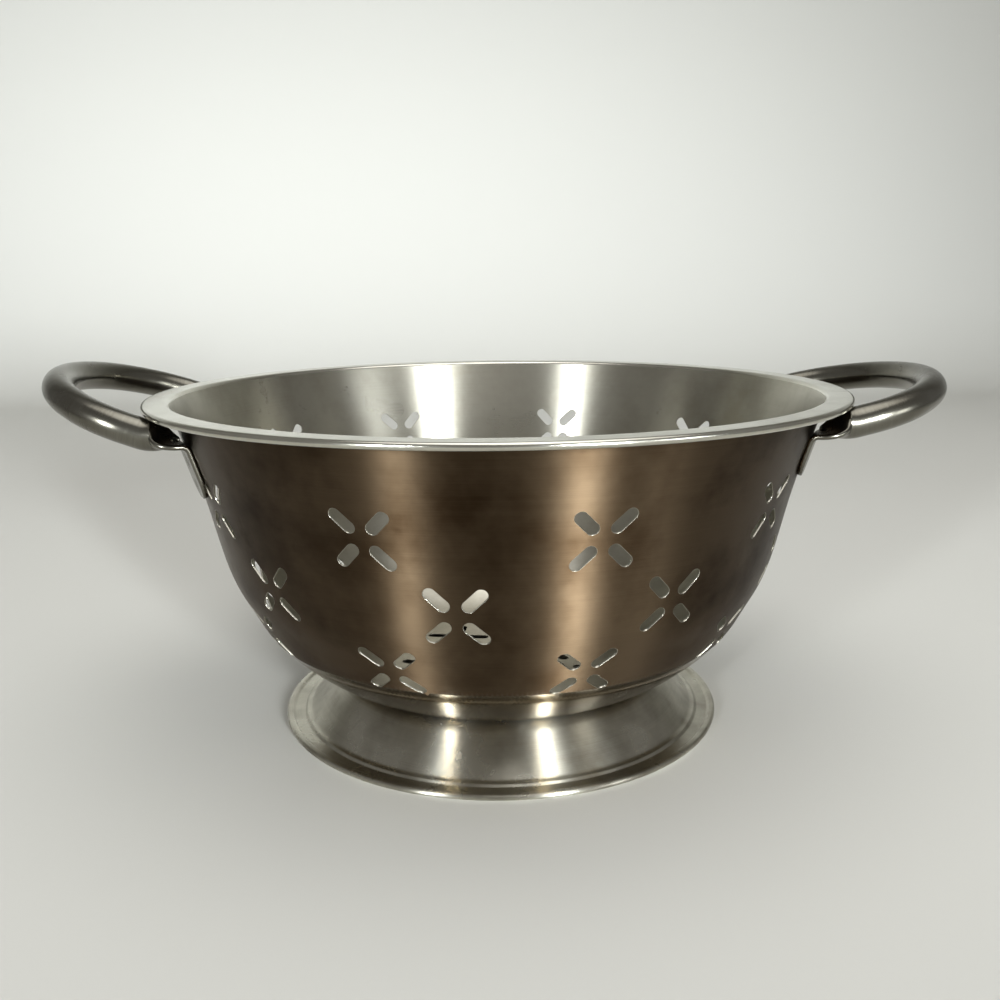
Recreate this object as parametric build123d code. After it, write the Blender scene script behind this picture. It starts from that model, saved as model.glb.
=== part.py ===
from build123d import *
import os
from math import cos, radians, sin, sqrt, tan

# Driving sizes in millimetres. The part stands on Z = 0, +Z is up,
# the bowl's axis is the Z axis and the two handles lie along X.
# Sheet metal and overall bowl
sheet = 0.5
overall_height = 116.8
rim_radius = 120.0
mouth_radius = 111.5
floor_height = 15.6
floor_radius = 50.0
wall_flare = 18.4

# Rolled rim
rim_bend = 1.2
rim_roll_radius = 1.15
rim_roll_sweep = 250.0

# Pressed line round the lower wall
line_top = 36.0
line_bottom = 32.6
line_depth = 0.15

# Drain slots, in groups of four set as a cross
slot_length = 8.9
slot_width = 3.8
slot_spread = 7.55
slots_in_group = 4
row_angles = [-22.8, 14.0, 51.5, 88.7, 125.9, 163.2, 203.2, 235.6, 268.1, 300.5]
middle_row_lag = -4.4
floor_ring_radius = 27.0
floor_ring_groups = 5
seam_angle = 21.0

# Foot ring
foot_radius = 79.4
foot_roll_radius = 1.0
foot_roll_sweep = 250.0
foot_flat = 0.08
foot_flange_clear = 0.6
foot_shoulder_step = 7.8
foot_seat_width = 14.6
ledge_width = 1.4
ledge_step = 0.85
shoulder_bend = 8.0
ledge_bend = 2.0
small_bend = 0.6

# Handles, round tube pressed flat at its ends
tube_radius = 5.0
tube_wall = 0.8
leg_spacing = 89.6
leg_start = 0.68
leg_bend = 10.0
leg_run = 1.0
handle_clear = 0.3
loop_reach = 39.4
loop_straight = 3.5
handle_rise_right = 13.5
handle_rise_left = 19.9
tab_angle = 24.5
tab_width = 14.4
tab_thickness = 1.7
tab_lower = 3.5
tab_bend = 2.6
tab_run = 0.3
tab_length_right = 13.3
tab_length_left = 17.5
tab_set = 0.27
bore_slit = 0.24
tube_side_angle = 15.0

# Spot welds
tab_weld_radius = 2.3
seat_weld_radius = 2.0
seat_weld_count = 8
seat_weld_inset = 3.7
weld_dimple_radius = 2.6
weld_dimple_depth = 0.22

# Working allowance for cuts
overrun = 2.0

# Wall outline, as shares of the way from floor edge to mouth, and of the wall's height
wall_shares = [
    (0.187, 0.026),
    (0.338, 0.083),
    (0.484, 0.162),
    (0.576, 0.231),
    (0.639, 0.302),
    (0.701, 0.374),
    (0.743, 0.439),
    (0.801, 0.576),
    (0.855, 0.714),
    (0.922, 0.852),
]
# Rows of slot groups from the top down, as shares of the wall's height
row_height_shares = [0.7139, 0.4926, 0.2813]
# Lower end of the foot's cone, as a share of the way from its shoulder to its edge
foot_ledge_share = 0.588
# Loop bends, as tangent angles round the end and as shares of the half spacing
loop_tangents = [0.0, 35.0, 65.0, 90.0]
loop_bend_shares = [0.62, 0.92, 1.25]
# Heights of the two welds on a tab, as shares of the tab's height
tab_weld_shares = [0.27, 0.72]

# Heights and radii that follow from the driving sizes
rim_underside = overall_height - sheet
rim_roll_centre = rim_radius - rim_roll_radius
rim_roll_height = overall_height - rim_roll_radius
floor_top = floor_height + sheet
half_spacing = leg_spacing / 2
wall_top = rim_underside - rim_bend * (1 - sin(radians(wall_flare)))
upper_row_height, middle_row_height, lower_row_height = (
    floor_height + share * (wall_top - floor_height) for share in row_height_shares)
# The foot's shoulder lies outside the flat floor, and its cone runs down to the ledge
foot_shoulder_radius = floor_radius + foot_shoulder_step
ledge_radius = foot_shoulder_radius + foot_ledge_share * (foot_radius - foot_shoulder_radius)
# The loop ends just outside the rolled rim, and its legs pass under it, still round
leg_root = sqrt(rim_radius ** 2 - half_spacing ** 2) + leg_start
leg_height = overall_height - 2 * rim_roll_radius - handle_clear - tube_radius
tab_height = leg_height - tab_lower
tab_tip_height_right = tab_height - tab_length_right
tab_tip_height_left = tab_height - tab_length_left
# Cylinders that stand on their own plane
upright = (Align.CENTER, Align.CENTER, Align.MIN)


def wall_line():
    """Outer line of the bowl's wall in the XZ plane, from the floor's edge to the rim bend."""
    flare = radians(wall_flare)
    rise = wall_top - floor_height
    reach = mouth_radius - floor_radius
    points = [(floor_radius, floor_height)]
    points += [(floor_radius + a * reach, floor_height + b * rise) for a, b in wall_shares]
    points += [(mouth_radius, wall_top)]
    return Spline(*points, tangents=[(1, 0), (sin(flare), cos(flare))])


def offset_line(line, amount, count=30):
    """Line that runs at a steady distance to the left of another line."""
    points = []
    for i in range(count + 1):
        point, along = line @ (i / count), line % (i / count)
        points.append(point + Vector(-along.Y, along.X) * amount)
    return Spline(*points, tangents=[line % 0, line % 1])


def wall_place(line, height):
    """Share of the way along the wall's line at which it has the given height."""
    low, high = 0.0, 1.0
    for _ in range(40):
        middle = (low + high) / 2
        low, high = (middle, high) if (line @ middle).Y < height else (low, middle)
    return low


def roll_lines(centre, inner, outer, sweep):
    """Two arcs and the end cap of a rolled edge that turns over and down from its top."""
    inner_arc = CenterArc(centre, inner, 90, -sweep)
    outer_arc = CenterArc(centre, outer, 90, -sweep)
    return inner_arc, outer_arc, Line(inner_arc @ 1, outer_arc @ 1)


def turned(lines):
    """Solid of revolution about Z from lines in a plane through Z, with its seam clear of the slots."""
    angle = radians(seam_angle)
    plane = Plane(origin=(0, 0, 0), x_dir=(sin(angle), -cos(angle), 0), z_dir=(-cos(angle), -sin(angle), 0))
    return revolve(plane * make_face(lines), Axis.Z, 360)


def bowl_body():
    """One pressed sheet: flat floor, curved wall, flat rim and rolled edge."""
    outer = wall_line()
    inner = offset_line(outer, sheet)
    floor_under = Line((0, floor_height), outer @ 0)
    floor_upper = Line((0, floor_top), inner @ 0)
    axis_line = Line((0, floor_height), (0, floor_top))
    along = outer % 1
    bend_centre = outer @ 1 + Vector(along.Y, -along.X) * rim_bend
    under_bend = TangentArc(outer @ 1, bend_centre + Vector(0, rim_bend), tangent=along)
    upper_bend = TangentArc(inner @ 1, bend_centre + Vector(0, rim_bend + sheet), tangent=along)
    centre = (rim_roll_centre, rim_roll_height)
    roll_inner = rim_roll_radius - sheet
    inner_arc, outer_arc, cap = roll_lines(centre, roll_inner, rim_roll_radius, rim_roll_sweep)
    flange_under = Line(under_bend @ 1, inner_arc @ 0)
    flange_upper = Line(upper_bend @ 1, outer_arc @ 0)
    lines = [axis_line, floor_under, outer, under_bend, flange_under, inner_arc, cap, outer_arc,
             flange_upper, upper_bend, inner, floor_upper]
    return turned(lines)


def bowl_outside():
    """Filled space inside the wall's outer face, used to fit pieces against the wall."""
    outer = wall_line()
    lines = [outer, Line((0, floor_height), outer @ 0), Line(outer @ 1, (0, (outer @ 1).Y))]
    lines += [Line((0, floor_height), (0, (outer @ 1).Y))]
    return turned(lines)


def pressed_line():
    """Ring cut that leaves a shallow pressed line round the wall."""
    outer = wall_line()
    corners = []
    for height in (line_bottom, line_top):
        place = wall_place(outer, height)
        point, along = outer @ place, outer % place
        normal = Vector(along.Y, -along.X)
        corners.append((point - normal * line_depth, point + normal * overrun))
    (a, b), (c, d) = corners
    return turned([Line(a, b), Line(b, d), Line(d, c), Line(c, a)])


def slot_group(plane):
    """Four slots round a point, each pointing at it, cut along the plane's normal."""
    group = Sketch()
    for i in range(slots_in_group):
        angle = 360 / slots_in_group * (i + 0.5)
        place = Pos(slot_spread * cos(radians(angle)), slot_spread * sin(radians(angle)))
        group += place * Rot(0, 0, angle) * SlotOverall(slot_length, slot_width)
    return extrude(plane * group, sheet + overrun, both=True).solids()


def wall_plane(line, height, angle):
    """Plane on the wall at a height, facing out, at an angle from the front about Z."""
    place = wall_place(line, height)
    point, along = line @ place, line % place
    out = Vector(sin(radians(angle)), -cos(radians(angle)), 0)
    side = Vector(cos(radians(angle)), sin(radians(angle)), 0)
    up = Vector(0, 0, 1)
    normal = out * along.Y - up * along.X
    return Plane(origin=out * point.X + up * point.Y, x_dir=side, z_dir=normal)


def middle_angles():
    """Middle row's groups, halfway between those of the other rows less a steady lag."""
    following = row_angles[1:] + [row_angles[0] + 360]
    return [(a + b) / 2 + middle_row_lag for a, b in zip(row_angles, following)]


def floor_planes():
    """Planes of the groups in the floor: one in the middle and a ring round it."""
    planes = [Plane.XY.offset(floor_height)]
    for i in range(floor_ring_groups):
        angle = radians(360 / floor_ring_groups * i)
        centre = Vector(sin(angle), -cos(angle), 0) * floor_ring_radius
        side = (cos(angle), sin(angle), 0)
        planes.append(Plane(origin=centre + Vector(0, 0, floor_height), x_dir=side, z_dir=(0, 0, 1)))
    return planes


def slot_cuts():
    """All drain slots of the bowl."""
    line = wall_line()
    cuts = []
    for height in (upper_row_height, lower_row_height):
        for angle in row_angles:
            cuts += slot_group(wall_plane(line, height, angle))
    for angle in middle_angles():
        cuts += slot_group(wall_plane(line, middle_row_height, angle))
    for plane in floor_planes():
        cuts += slot_group(plane)
    return cuts


def side_line(points, radii, amount):
    """Filleted line at a steady distance to the left of a bent centre line."""
    points = [Vector(*p) for p in points]
    count = len(points)
    ways = [(after - before).normalized() for before, after in zip(points, points[1:])]
    left = [Vector(-w.Y, w.X) for w in ways]
    moved, bends = [points[0] + left[0] * amount], []
    for i in range(1, count - 1):
        mean = left[i - 1] + left[i]
        moved.append(points[i] + mean * (amount / (1 + left[i - 1].dot(left[i]))))
        turn = ways[i - 1].X * ways[i].Y - ways[i - 1].Y * ways[i].X
        bends.append(radii[i - 1] - amount if turn > 0 else radii[i - 1] + amount)
    moved.append(points[-1] + left[-1] * amount)
    return FilletPolyline(*moved, radius=bends)


def foot_body():
    """One pressed sheet: seat under the floor, shoulder, cone, ledge, flange and rolled edge."""
    half = sheet / 2
    seat = floor_height - half
    flange = foot_flange_clear + half
    roll_height = foot_roll_radius - foot_flat
    roll_top = roll_height + foot_roll_radius - half
    roll_centre = foot_radius - foot_roll_radius
    lift = roll_top - flange
    ledge_end = ledge_radius + ledge_width
    points = [(foot_shoulder_radius - foot_seat_width, seat), (foot_shoulder_radius, seat),
              (ledge_radius, flange + ledge_step), (ledge_end, flange + ledge_step),
              (ledge_end + ledge_step, flange),
              (roll_centre - foot_roll_radius - lift, flange), (roll_centre - foot_roll_radius, roll_top),
              (roll_centre, roll_top)]
    radii = [shoulder_bend, ledge_bend, small_bend, small_bend, small_bend, small_bend]
    upper = side_line(points, radii, half)
    under = side_line(points, radii, -half)
    centre = (roll_centre, roll_height)
    roll_inner = foot_roll_radius - sheet
    inner_arc, outer_arc, cap = roll_lines(centre, roll_inner, foot_roll_radius, foot_roll_sweep)
    edge = Line(upper @ 0, under @ 0)
    body = turned([edge, upper, outer_arc, cap, inner_arc, under])
    below = Pos(0, 0, -overrun) * Cylinder(foot_radius + overrun, overrun, align=upright)
    return body - below


def round_section(plane, radius):
    """Round section in four arcs, in the order of the flat section's edges."""
    side = tube_side_angle
    arcs = [CenterArc((0, 0), radius, -side, 2 * side), CenterArc((0, 0), radius, side, 180 - 2 * side),
            CenterArc((0, 0), radius, 180 - side, 2 * side), CenterArc((0, 0), radius, 180 + side, 180 - 2 * side)]
    return plane * make_face(arcs)


def flat_section(plane, half_width, half_height):
    """Flat section with round sides: arc, line, arc and line."""
    core = half_width - half_height
    edges = [CenterArc((core, 0), half_height, -90, 180), Line((core, half_height), (-core, half_height)),
             CenterArc((-core, 0), half_height, 90, 180), Line((-core, -half_height), (core, -half_height))]
    return plane * make_face(edges)


def tab_frame():
    """Plane through the axis at a tab's angle: X runs out from the axis and Y runs up."""
    angle = radians(tab_angle)
    return Plane(origin=(0, 0, 0), x_dir=(cos(angle), sin(angle), 0), z_dir=(sin(angle), -cos(angle), 0))


def tab_path(tip_height):
    """Centre line of a tab: inwards under the rim, a bend, then down along the wall."""
    wall = wall_line()
    half = tab_thickness / 2 - tab_set
    ends = []
    for height in (tip_height, tab_height):
        place = wall_place(wall, height)
        point, along = wall @ place, wall % place
        ends.append(point + Vector(along.Y, -along.X) * half)
    low, high = ends
    corner = Vector(high.X, tab_height)
    start = corner + Vector(tab_bend + tab_run, 0)
    return FilletPolyline(start, corner, low, radius=tab_bend)


def leg_line(rise):
    """Centre line of a leg from the loop inwards: a bend, then a level stretch under the rim."""
    tilt = radians(rise)
    down = Vector(-cos(tilt), 0, -sin(tilt))
    root = Vector(leg_root, half_spacing, leg_height)
    reach = leg_bend * tan(tilt / 2)
    level = root + down * reach - Vector(reach, 0, 0)
    return [TangentArc(root, level, tangent=down), Line(level, level - Vector(leg_run, 0, 0))]


def leg_tube(rise, radius):
    """Round length of a leg between the loop and the pressed end."""
    bend, level = leg_line(rise)
    first = Plane(origin=bend @ 0, x_dir=(0, 1, 0), z_dir=bend % 0)
    second = Plane(origin=level @ 0, x_dir=(0, 1, 0), z_dir=level % 0)
    return sweep(round_section(first, radius), bend) + sweep(round_section(second, radius), level)


def tab_ends(rise, tip_height):
    """Planes at the two ends of the pressed length: at the round leg and at the flat tab."""
    frame = tab_frame()
    path = frame * tab_path(tip_height)
    flat = Plane(origin=path @ 0, x_dir=-frame.z_dir, z_dir=path % 0)
    level = leg_line(rise)[1]
    leg = Plane(origin=level @ 1, x_dir=(0, 1, 0), z_dir=level % 1)
    return leg, flat, path


def pressed_end(rise, tip_height):
    """One end of the tube: pressed flat under the rim, bent down and rounded at its tip."""
    leg, flat, path = tab_ends(rise, tip_height)
    half_width, half_thickness = tab_width / 2, tab_thickness / 2
    press = loft([round_section(leg, tube_radius), flat_section(flat, half_width, half_thickness)])
    strap = sweep(flat_section(flat, half_width, half_thickness), path)
    tip, down = path @ 1, path % 1
    facing = Plane(origin=tip - down * half_width, x_dir=-down, z_dir=flat.x_dir.cross(down))
    keep = Cylinder(half_width, overrun * 4)
    keep += Pos(tab_height / 2, 0, 0) * Box(tab_height, tab_width + overrun, tab_height)
    return leg_tube(rise, tube_radius) + press + (strap & (facing * keep))


def pressed_bore(rise, tip_height):
    """Bore of the tube closing to a slit in the pressed length."""
    leg, flat, path = tab_ends(rise, tip_height)
    radius = tube_radius - tube_wall
    slit = flat_section(flat, tab_width / 2 - tube_wall, bore_slit / 2)
    return leg_tube(rise, radius) + loft([round_section(leg, radius), slit])


def loop_path(rise):
    """Centre line of the loop, legs along X and a round end made of tangent arcs."""
    reach = loop_reach - loop_straight
    corners = []
    for a, b in zip(loop_tangents, loop_tangents[1:]):
        middle, half = radians((a + b) / 2), radians((b - a) / 2)
        along = loop_straight + reach * sin(middle) / cos(half)
        corners.append((along, half_spacing * cos(middle) / cos(half)))
    points = [(0, half_spacing)] + corners
    points += [(x, -y) for x, y in reversed(points)]
    radii = [half_spacing * share for share in loop_bend_shares]
    tilt = radians(rise)
    root = (leg_root, 0, leg_height)
    plane = Plane(origin=root, x_dir=(cos(tilt), 0, sin(tilt)), z_dir=(-sin(tilt), 0, cos(tilt)))
    return plane * FilletPolyline(*points, radius=radii + radii[::-1])


def tab_weld_planes(tip_height):
    """Planes of a tab's spot welds, on the wall's outer face and facing out."""
    line = wall_line()
    planes = []
    for share in tab_weld_shares:
        height = tip_height + share * (tab_height - tip_height)
        planes.append(wall_plane(line, height, 90 + tab_angle))
    return planes


def tab_welds(tip_height):
    """Two weld nuggets of one tab, each half in the wall and half in the tab."""
    depth = sheet / 2
    reach = tab_thickness / 2
    slug = Pos(0, 0, -depth) * Cylinder(tab_weld_radius, depth + reach, align=upright)
    return [plane * slug for plane in tab_weld_planes(tip_height)]


def tab_dimples(tip_height):
    """Round marks that the welding tips leave in a tab's outer face."""
    ball = (weld_dimple_radius ** 2 + weld_dimple_depth ** 2) / (2 * weld_dimple_depth)
    face = tab_thickness - tab_set - weld_dimple_depth
    cap = Pos(0, 0, face + ball) * Sphere(ball)
    cap &= Pos(0, 0, face) * Cylinder(weld_dimple_radius * 1.2, weld_dimple_depth * 6)
    return [plane * cap for plane in tab_weld_planes(tip_height)]


def both_sides(shape):
    """A shape and its mirror image across the XZ plane."""
    return [shape, mirror(shape, Plane.XZ)]


def handle_body(rise, tip_height):
    """One bent tube with two pressed ends, at +X, before the weld pockets are cut."""
    path = loop_path(rise)
    start = Plane(origin=path @ 0, x_dir=(0, -1, 0), z_dir=path % 0)
    tube = sweep(round_section(start, tube_radius), path)
    bore = sweep(round_section(start, tube_radius - tube_wall), path)
    body = tube
    for end in both_sides(pressed_end(rise, tip_height)):
        body += end
    for hollow in [bore] + both_sides(pressed_bore(rise, tip_height)):
        body -= hollow
    for dimple in tab_dimples(tip_height):
        for cut in both_sides(dimple):
            body -= cut
    return body - bowl_outside()


def seat_welds():
    """Weld nuggets between the bowl's floor and the foot's seat."""
    radius = foot_shoulder_radius - foot_seat_width + seat_weld_inset
    slug = Cylinder(seat_weld_radius, sheet)
    return [loc * slug for loc in Pos(0, 0, floor_height) * PolarLocations(radius, seat_weld_count)]


def handle_welds(tip_height):
    """Four weld nuggets of one handle, at +X."""
    return [weld for slug in tab_welds(tip_height) for weld in both_sides(slug)]


def main():
    os.makedirs("parts", exist_ok=True)
    half_turn = Rot(0, 0, 180)
    welds_right = handle_welds(tab_tip_height_right)
    welds_left = [half_turn * weld for weld in handle_welds(tab_tip_height_left)]
    welds_foot = seat_welds()
    handle_right = handle_body(handle_rise_right, tab_tip_height_right).cut(*welds_right)
    handle_left = (half_turn * handle_body(handle_rise_left, tab_tip_height_left)).cut(*welds_left)
    foot_ring = foot_body().cut(*welds_foot)
    bowl = bowl_body().cut(pressed_line(), *slot_cuts()).cut(*welds_right, *welds_left, *welds_foot)
    nodes = {
        "bowl": bowl,
        "foot_ring": foot_ring,
        "handle_left": handle_left,
        "handle_right": handle_right,
        "handle_spot_welds": Compound(children=[w.solid() for w in welds_right + welds_left]),
        "foot_spot_welds": Compound(children=[w.solid() for w in welds_foot]),
    }
    for name, shape in nodes.items():
        solids = shape.solids()
        valid = all(solid.is_valid for solid in solids)
        print(name, len(solids), "solids", round(shape.volume, 1), "valid", valid, shape.bounding_box().size)
        export_step(shape, f"parts/{name}.step")


main()
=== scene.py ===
import bpy
import math
import numpy as np
from mathutils import Matrix
from mathutils.geometry import delaunay_2d_cdt


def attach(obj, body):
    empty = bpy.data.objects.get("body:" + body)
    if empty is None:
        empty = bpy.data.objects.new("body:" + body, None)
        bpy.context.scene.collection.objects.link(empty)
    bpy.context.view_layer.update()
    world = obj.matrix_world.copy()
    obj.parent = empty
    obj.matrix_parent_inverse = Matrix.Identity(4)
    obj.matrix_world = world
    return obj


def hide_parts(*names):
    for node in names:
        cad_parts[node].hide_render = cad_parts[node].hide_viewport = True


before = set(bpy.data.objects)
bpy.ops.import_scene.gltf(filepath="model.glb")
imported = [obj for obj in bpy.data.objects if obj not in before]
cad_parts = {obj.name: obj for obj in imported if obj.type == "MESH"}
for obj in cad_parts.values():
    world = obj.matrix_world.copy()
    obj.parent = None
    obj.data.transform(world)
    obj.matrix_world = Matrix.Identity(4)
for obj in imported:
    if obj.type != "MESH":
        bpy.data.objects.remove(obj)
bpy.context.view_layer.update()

MM = 0.001

# Points nearer than the first are one point of a line, and nearer than the second one point of the plan
DOUBLED, PLAN_DOUBLED = 1e-4, 1e-5
# Millimetres of run in one unit of a UV map
UV_LENGTH = 100
QUARTER_TURN = 0.25
NO_TRIANGLES = np.zeros((0, 3), int)

# Pressed bowl, in millimetres
SHEET = 0.5
TOP = 116.8
RIM_RADIUS = 120.0
MOUTH_RADIUS = 111.5
FLOOR_HEIGHT = 15.6
FLOOR_RADIUS = 50.0
WALL_FLARE = 18.4
RIM_BEND = 1.2
RIM_ROLL = 1.15
ROLL_SWEEP = 250.0
WALL_SHARES = [(0.187, 0.026), (0.338, 0.083), (0.484, 0.162), (0.576, 0.231), (0.639, 0.302),
               (0.701, 0.374), (0.743, 0.439), (0.801, 0.576), (0.855, 0.714), (0.922, 0.852)]
LINE_TOP, LINE_BOTTOM, LINE_DEPTH, LINE_SLOPE = 36.0, 32.6, 0.15, 0.35

# Points of the floor's and the wall's line and of one bowl ring
FLOOR_POINTS, WALL_POINTS = 200, 900
BOWL_COLUMNS = 360
# Number, from 0 at the wall, of the rim's last row that has the outside's finish
LAST_UNDER_ROW = 10
# Rings of loose points in the unrolled plan's middle: first and last distance, step and points in a ring
INNER_RINGS = [(3, 12, 3.0, 48), (12, 45, 2.8, 120)]
# Rings of loose points from there to the mouth: first distance, room left at the mouth and step
OUTER_START, OUTER_ROOM, OUTER_STEP = 46.0, 1.2, 2.5
# Rings on both sides of each edge of the pressed line, and the room that the others leave them
CREASE_OFFSET, CREASE_ROOM = 0.06, 0.9
# The band's finish reaches this far past the pressed line
BAND_OVER = 0.1
# Order of the bowl's finishes
OUTSIDE, INSIDE, BAND, RIM = range(4)

# Drain slots
SLOT_LENGTH, SLOT_WIDTH, SLOT_SPREAD = 8.9, 3.8, 7.55
ROW_ANGLES = np.array([-22.8, 14.0, 51.5, 88.7, 125.9, 163.2, 203.2, 235.6, 268.1, 300.5])
ROW_HEIGHTS = {"upper": 86.9, "middle": 64.8, "lower": 43.7}
MIDDLE_LAG = -4.4
FLOOR_RING_RADIUS, FLOOR_RING_GROUPS = 27.0, 5
SLOTS_IN_GROUP = 4
SLOT_END_POINTS = 13
# Slot walls: growth of the outline, depth from the outer face and lean of the normal at each row
SLOT_MOUTH = 0.08
SLOT_ROWS = [(0.02, 0.015, 0.5), (-0.02, 0.06, 0.08),
             (-0.02, SHEET - 0.06, -0.08), (0.02, SHEET - 0.015, -0.5)]
# Loose points keep this far from the slots, and triangles whose middle is nearer than the second are dropped
SLOT_CLEAR, SLOT_INSIDE = 0.75, 0.1
# Points further round than this from a wall group's centre, in radians, aren't in its slots
GROUP_REACH = 1

# Foot ring
FOOT_RADIUS = 79.4
FOOT_ROLL = 1.0
FOOT_FLAT = 0.08
FLANGE_CLEAR = 0.6
SHOULDER_RADIUS, SEAT_WIDTH = 57.8, 14.6
LEDGE_RADIUS, LEDGE_WIDTH, LEDGE_STEP = 70.5, 1.4, 0.85
FOOT_BENDS = [8.0, 2.0, 0.6, 0.6, 0.6, 0.6]
FOOT_COLUMNS = 300
FOOT_UPPER_STEP, FOOT_UNDER_STEP = 0.6, 0.9

# Tube handles
TUBE_RADIUS = 5.0
LEG_SPACING = 89.6
LEG_ROOT, LEG_HEIGHT = 112.0, 109.2
LEG_BEND, LEG_RUN = 10.0, 1.0
# Share of the leg's bend that is drawn, so that its last run keeps a length
LEG_BEND_SHARE = 0.999
LOOP_REACH, LOOP_STRAIGHT = 39.4, 3.5
LOOP_TANGENTS = [0.0, 35.0, 65.0, 90.0]
LOOP_SHARES = [0.62, 0.92, 1.25]
RISE = {"right": 13.5, "left": 19.9}
TAB_TIP = {"right": 92.4, "left": 88.2}
TAB_ANGLE, TAB_WIDTH, TAB_THICKNESS, TAB_HEIGHT = 24.5, 14.4, 1.7, 105.7
TAB_BEND, TAB_RUN, TAB_SET = 2.6, 0.3, 0.27
WELD_SHARES = [0.27, 0.72]
WELD_RADIUS, WELD_DEPTH = 2.6, 0.33
# Power that rounds a weld mark's edge
WELD_EDGE = 0.7
# Thickness grows this many times as fast as width from the tip
TIP_SWELL = 3.2
# Length of tab that gives its slope
TAB_SLOPE_LENGTH = 12
HANDLE_COLUMNS = 72
# Steps of the centre line's tab and loop, before it is read again
TAB_STEP, LOOP_LINE_STEP = 0.25, 0.4
# Ends of the finely stepped tip and of the pressed length, along the handle, and the steps beyond
TIP_END, PRESSED_END, LOOP_STEP = 7.2, 32.0, 0.8
TIP_POINTS, PRESSED_POINTS, BRIDGE_POINTS = 14, 62, 14
# Half angle of a round section's side that comes from a flat section's round side
SIDE_ANGLE = 15

# Floor and backdrop, in metres
FLOOR_FRONT, FLOOR_BACK, FLOOR_HALF_WIDTH = -2.2, 0.9, 3.0
COVE_RADIUS, BACKDROP_TOP = 0.45, 2.6
FLOOR_COLOUR, FLOOR_ROUGHNESS, FLOOR_SHEEN = (0.58, 0.57, 0.53), 0.7, 0.1

# Light: the world's colour and strength, and the place at which the lamps aim
WORLD_COLOUR, WORLD_STRENGTH = (0.90, 0.885, 0.85, 1), 0.29
COOL = (0.92, 0.97, 1.0)
AIM = (0, 0, 0.07)
LAMP_DISTANCE, LAMP_HEIGHT = 6.0, 0.95
LAMP_LENGTH, LAMP_SPREAD = 1.6, 26
TOP_PLACE, TOP_SIZE, TOP_POWER, TOP_SPREAD = (0.1, -0.1, 1.3), 1.2, 3.8, 100
# Lamps round the front: angle from the front in degrees, width in metres and power in watts
FRONT_LAMPS = {"left_panel": (-35, 0.345, 8), "right_panel": (26, 0.45, 17),
               "far_right_panel": (54, 1.98, 2.4)}

# Camera: pitch, roll, heading and turn about Z in degrees, place in metres
PITCH, ROLL, HEADING, TURN = 12.60, -0.630, 0.081, -1.8
CAMERA_PLACE = (0, -0.3570, 0.1558)
SENSOR, LENS, CLIP_START = 36.0, 36.205, 0.01


# Lines in a plane

def unit(ways):
    """Ways brought to a length of 1."""
    return ways / np.linalg.norm(ways, axis=-1, keepdims=True)


def hermite(u, start, end, first_way, last_way, reach=1):
    """Cubic from start to end at shares u of its run, which leaves along the first way and
    arrives along the last one, both multiplied by a reach."""
    return ((2 * u ** 3 - 3 * u ** 2 + 1) * start + (u ** 3 - 2 * u ** 2 + u) * reach * first_way
            + (3 * u ** 2 - 2 * u ** 3) * end + (u ** 3 - u ** 2) * reach * last_way)


def clamped_line(points, first_way, last_way, count):
    """Cubic line through points with a given way at each end: the slopes solve the usual
    three-term system on chord lengths, then each stretch is a Hermite cubic."""
    p = np.array(points, float)
    h = np.linalg.norm(np.diff(p, axis=0), axis=1)
    n = len(p)
    system = np.zeros((n, n))
    right = np.zeros((n, 2))
    system[0, 0] = system[-1, -1] = 1.0
    right[0], right[-1] = first_way, last_way
    inner = np.arange(1, n - 1)
    system[inner, inner - 1] = 1 / h[:-1]
    system[inner, inner] = 2 / h[:-1] + 2 / h[1:]
    system[inner, inner + 1] = 1 / h[1:]
    steps = np.diff(p, axis=0) / h[:, None] ** 2
    right[inner] = 3 * (steps[:-1] + steps[1:])
    slope = np.linalg.solve(system, right)
    knots = np.concatenate([[0], np.cumsum(h)])
    t = np.linspace(0, knots[-1], count)
    k = np.clip(np.searchsorted(knots, t, side="right") - 1, 0, n - 2)
    u = ((t - knots[k]) / h[k])[:, None]
    return hermite(u, p[k], p[k + 1], slope[k], slope[k + 1], h[k][:, None])


def arc(centre, radius, start, end, count):
    """Points of a circle's arc between two angles in degrees."""
    a = np.radians(np.linspace(start, end, count))
    return np.array(centre) + radius * np.stack([np.cos(a), np.sin(a)], axis=1)


def straight(a, b, count):
    """Evenly spaced points of a straight run, both ends included."""
    u = np.linspace(0, 1, count)[:, None]
    return np.array(a) * (1 - u) + np.array(b) * u


def joined(*runs):
    """Runs end to end, with the doubled points dropped."""
    line = np.concatenate(runs)
    keep = np.concatenate([[True], np.linalg.norm(np.diff(line, axis=0), axis=1) > DOUBLED])
    return line[keep]


def filleted(points, radii, step):
    """Bent line with its corners rounded: each corner's arc touches both runs at
    radius times the tangent of half the turn."""
    p = np.array(points, float)
    way = unit(np.diff(p, axis=0))
    runs, last = [], p[0]
    for i, radius in enumerate(radii):
        a, b = way[i], way[i + 1]
        turn = a[0] * b[1] - a[1] * b[0]
        angle = math.acos(np.clip(a @ b, -1, 1))
        reach = radius * math.tan(angle / 2)
        start, side = p[i + 1] - a * reach, math.copysign(1, turn)
        centre = start + side * radius * np.array([-a[1], a[0]])
        first = math.degrees(math.atan2(*(start - centre)[::-1]))
        runs.append(straight(last, start, max(2, int(np.linalg.norm(start - last) / step) + 2)))
        runs.append(arc(centre, radius, first, first + side * math.degrees(angle),
                        max(5, int(radius * angle / step) + 3)))
        last = runs[-1][-1]
    runs.append(straight(last, p[-1], max(2, int(np.linalg.norm(p[-1] - last) / step) + 2)))
    return joined(*runs)


def lengths(line):
    """Distance run along a line at each of its points."""
    return np.concatenate([[0], np.cumsum(np.linalg.norm(np.diff(line, axis=0), axis=1))])


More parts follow.
